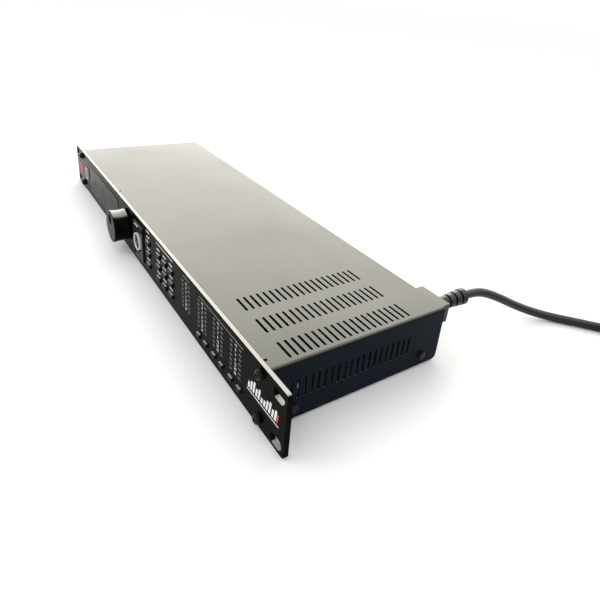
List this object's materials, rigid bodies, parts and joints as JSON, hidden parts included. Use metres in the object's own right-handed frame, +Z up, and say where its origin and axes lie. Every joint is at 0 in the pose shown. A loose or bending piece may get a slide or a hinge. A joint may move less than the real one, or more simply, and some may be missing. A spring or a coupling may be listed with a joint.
{
  "type": "rack audio processor",
  "caption": "Rack-mount audio processor with ears, a display window, a push-and-turn data knob, push buttons, level meters, audio sockets and a coiled mains lead.",
  "frame": {"origin": "bottom centre of the unit without its mains lead: middle of its width, middle of its depth from the knob's face to the rear sockets' latches, height of the front panel's lower edge", "axes": "+X to the right of someone facing the front panel, +Y towards the rear panel, +Z up"},
  "size_m": [0.6268, 0.3547, 0.0437],
  "materials": {
    "cover_paint": "satin black paint, fine texture",
    "tray_metal": "satin black paint",
    "panel_paint": "gloss black paint",
    "screw_black": "black oxide",
    "lens": "smoked gloss",
    "display_metal": "tinned",
    "socket_metal": "nickel plated",
    "steel": "turned",
    "brass": "plated",
    "knob_plastic": "gloss black",
    "button_plastic": "satin black",
    "led_plastic": "unlit tinted",
    "board": "green solder mask",
    "component_black": "moulded",
    "transformer_core": "varnished",
    "socket_plastic": "moulded black",
    "cord_pvc": "satin flexible",
    "rocker_plastic": "gloss black"
  },
  "bodies": {
    "root": {"chassis_tray": "tray_metal", "top_cover": "cover_paint", "front_panel": "panel_paint", "panel_screws": "screw_black", "cover_screws": "screw_black", "socket_screws": "screw_black", "display_lens": "lens", "display_module": "display_metal", "service_socket": "socket_metal", "encoder_body": "steel", "encoder_nut": "steel", "button_switches": "component_black", "meter_leds": "led_plastic", "front_board": "board", "main_board": "board", "power_supply_board": "board", "board_spacers": "brass", "board_screws": "steel", "power_transformer": "transformer_core", "board_components": "component_black", "network_jack": "socket_metal", "power_inlet": "socket_plastic", "inlet_pins": "brass", "switch_frame": "socket_plastic", "inlet_connector": "cord_pvc", "mains_cord": "cord_pvc", "cord_coil": "cord_pvc", "mains_plug": "cord_pvc", "plug_pins": "brass", "mic_socket_shell": "socket_plastic", "input_socket_shells": "socket_plastic", "socket_inserts": "socket_plastic", "socket_rings": "socket_metal", "output_sockets": "socket_plastic", "output_pins": "brass"},
    "function_button_01": {"function_button_01": "button_plastic"},
    "function_button_02": {"function_button_02": "button_plastic"},
    "function_button_03": {"function_button_03": "button_plastic"},
    "function_button_04": {"function_button_04": "button_plastic"},
    "function_button_05": {"function_button_05": "button_plastic"},
    "function_button_06": {"function_button_06": "button_plastic"},
    "function_button_07": {"function_button_07": "button_plastic"},
    "function_button_08": {"function_button_08": "button_plastic"},
    "function_button_09": {"function_button_09": "button_plastic"},
    "function_button_10": {"function_button_10": "button_plastic"},
    "function_button_11": {"function_button_11": "button_plastic"},
    "function_button_12": {"function_button_12": "button_plastic"},
    "mute_button_1": {"mute_button_1": "button_plastic"},
    "mute_button_2": {"mute_button_2": "button_plastic"},
    "mute_button_3": {"mute_button_3": "button_plastic"},
    "mute_button_4": {"mute_button_4": "button_plastic"},
    "mute_button_5": {"mute_button_5": "button_plastic"},
    "mute_button_6": {"mute_button_6": "button_plastic"},
    "mic_latch": {"mic_socket_latch": "socket_plastic"},
    "input_latch_left": {"input_latch_1": "socket_plastic"},
    "input_latch_right": {"input_latch_2": "socket_plastic"},
    "encoder_plunger": {"encoder_plunger": "component_black"},
    "data_knob": {"data_knob": "knob_plastic", "encoder_shaft": "steel"},
    "power_rocker": {"power_rocker": "rocker_plastic"}
  },
  "joints": [
    {"name": "function_button_01_press", "type": "slide", "parent": "root", "child": "function_button_01", "axis": [0, 1, 0], "range_m": [0, 0.0008], "stiffness_N_per_m": 250, "springref_m": -0.0004},
    {"name": "function_button_02_press", "type": "slide", "parent": "root", "child": "function_button_02", "axis": [0, 1, 0], "range_m": [0, 0.0008], "stiffness_N_per_m": 250, "springref_m": -0.0004},
    {"name": "function_button_03_press", "type": "slide", "parent": "root", "child": "function_button_03", "axis": [0, 1, 0], "range_m": [0, 0.0008], "stiffness_N_per_m": 250, "springref_m": -0.0004},
    {"name": "function_button_04_press", "type": "slide", "parent": "root", "child": "function_button_04", "axis": [0, 1, 0], "range_m": [0, 0.0008], "stiffness_N_per_m": 250, "springref_m": -0.0004},
    {"name": "function_button_05_press", "type": "slide", "parent": "root", "child": "function_button_05", "axis": [0, 1, 0], "range_m": [0, 0.0008], "stiffness_N_per_m": 250, "springref_m": -0.0004},
    {"name": "function_button_06_press", "type": "slide", "parent": "root", "child": "function_button_06", "axis": [0, 1, 0], "range_m": [0, 0.0008], "stiffness_N_per_m": 250, "springref_m": -0.0004},
    {"name": "function_button_07_press", "type": "slide", "parent": "root", "child": "function_button_07", "axis": [0, 1, 0], "range_m": [0, 0.0008], "stiffness_N_per_m": 250, "springref_m": -0.0004},
    {"name": "function_button_08_press", "type": "slide", "parent": "root", "child": "function_button_08", "axis": [0, 1, 0], "range_m": [0, 0.0008], "stiffness_N_per_m": 250, "springref_m": -0.0004},
    {"name": "function_button_09_press", "type": "slide", "parent": "root", "child": "function_button_09", "axis": [0, 1, 0], "range_m": [0, 0.0008], "stiffness_N_per_m": 250, "springref_m": -0.0004},
    {"name": "function_button_10_press", "type": "slide", "parent": "root", "child": "function_button_10", "axis": [0, 1, 0], "range_m": [0, 0.0008], "stiffness_N_per_m": 250, "springref_m": -0.0004},
    {"name": "function_button_11_press", "type": "slide", "parent": "root", "child": "function_button_11", "axis": [0, 1, 0], "range_m": [0, 0.0008], "stiffness_N_per_m": 250, "springref_m": -0.0004},
    {"name": "function_button_12_press", "type": "slide", "parent": "root", "child": "function_button_12", "axis": [0, 1, 0], "range_m": [0, 0.0008], "stiffness_N_per_m": 250, "springref_m": -0.0004},
    {"name": "mute_button_1_press", "type": "slide", "parent": "root", "child": "mute_button_1", "axis": [0, 1, 0], "range_m": [0, 0.0008], "stiffness_N_per_m": 250, "springref_m": -0.0004},
    {"name": "mute_button_2_press", "type": "slide", "parent": "root", "child": "mute_button_2", "axis": [0, 1, 0], "range_m": [0, 0.0008], "stiffness_N_per_m": 250, "springref_m": -0.0004},
    {"name": "mute_button_3_press", "type": "slide", "parent": "root", "child": "mute_button_3", "axis": [0, 1, 0], "range_m": [0, 0.0008], "stiffness_N_per_m": 250, "springref_m": -0.0004},
    {"name": "mute_button_4_press", "type": "slide", "parent": "root", "child": "mute_button_4", "axis": [0, 1, 0], "range_m": [0, 0.0008], "stiffness_N_per_m": 250, "springref_m": -0.0004},
    {"name": "mute_button_5_press", "type": "slide", "parent": "root", "child": "mute_button_5", "axis": [0, 1, 0], "range_m": [0, 0.0008], "stiffness_N_per_m": 250, "springref_m": -0.0004},
    {"name": "mute_button_6_press", "type": "slide", "parent": "root", "child": "mute_button_6", "axis": [0, 1, 0], "range_m": [0, 0.0008], "stiffness_N_per_m": 250, "springref_m": -0.0004},
    {"name": "mic_latch_press", "type": "slide", "parent": "root", "child": "mic_latch", "axis": [0, 1, 0], "range_m": [0, 0.001], "stiffness_N_per_m": 400, "springref_m": -0.0004},
    {"name": "input_latch_left_press", "type": "slide", "parent": "root", "child": "input_latch_left", "axis": [0, -1, 0], "range_m": [0, 0.001], "stiffness_N_per_m": 400, "springref_m": -0.0004},
    {"name": "input_latch_right_press", "type": "slide", "parent": "root", "child": "input_latch_right", "axis": [0, -1, 0], "range_m": [0, 0.001], "stiffness_N_per_m": 400, "springref_m": -0.0004},
    {"name": "knob_push", "type": "slide", "parent": "root", "child": "encoder_plunger", "axis": [0, 1, 0], "range_m": [0, 0.0005], "stiffness_N_per_m": 1500, "springref_m": -0.0004},
    {"name": "knob_turn", "type": "hinge", "parent": "encoder_plunger", "child": "data_knob", "pos_m": [-0.0385, -0.06335, 0.0238], "axis": [0, -1, 0], "continuous": true},
    {"name": "power_rocker_tilt", "type": "hinge", "parent": "root", "child": "power_rocker", "pos_m": [0.166, 0.07535, 0.0226], "axis": [1, 0, 0], "range_deg": [0, 18]}
  ]
}
